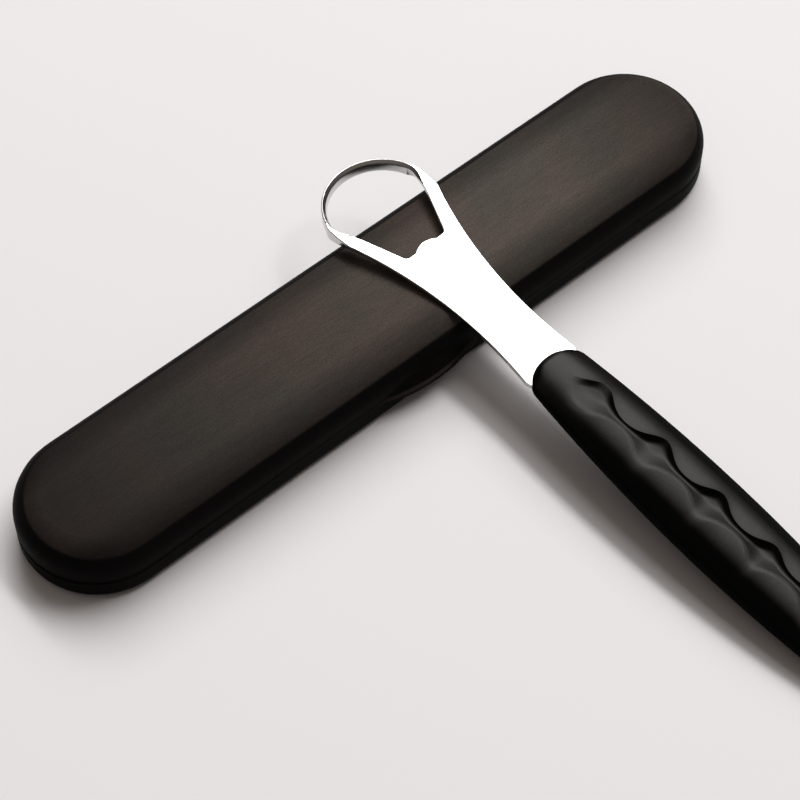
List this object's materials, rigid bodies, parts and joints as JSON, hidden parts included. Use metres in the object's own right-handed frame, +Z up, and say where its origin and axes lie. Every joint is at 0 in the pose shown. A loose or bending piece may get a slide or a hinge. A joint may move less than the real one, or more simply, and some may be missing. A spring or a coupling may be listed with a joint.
{
  "type": "tongue scraper with travel case",
  "caption": "Steel loop tongue scraper with a soft ribbed handle, lying across its closed hinged travel case.",
  "frame": {"origin": "middle of the case's flat underside, on the surface that the case stands on", "axes": "+Z up; +X along the case; -Y towards the thumb lip and the scraper's handle, +Y towards the hinge"},
  "size_m": [0.17, 0.154, 0.0171],
  "materials": {
    "case_shell": "soft matte",
    "pin_steel": "plain",
    "blade_steel": "polished",
    "core_plastic": "matte",
    "grip_rubber": "soft matte"
  },
  "bodies": {
    "case": {"case_base": "case_shell", "hinge_pin": "pin_steel"},
    "lid": {"case_lid": "case_shell"},
    "scraper": {"blade": "blade_steel", "handle_core": "core_plastic", "grip": "grip_rubber"}
  },
  "joints": [
    {"name": "scraper_lift", "type": "slide", "parent": "case", "child": "scraper", "axis": [0, 0, 1], "range_m": [0, 0.1]},
    {"name": "lid_hinge", "type": "hinge", "parent": "case", "child": "lid", "pos_m": [0, 0.01605, 0.0059], "axis": [-1, 0, 0], "range_deg": [0, 110]}
  ],
  "couplings": [
    {"joint": "lid_hinge", "follows": "scraper_lift", "rad_per_m": 19.19}
  ]
}
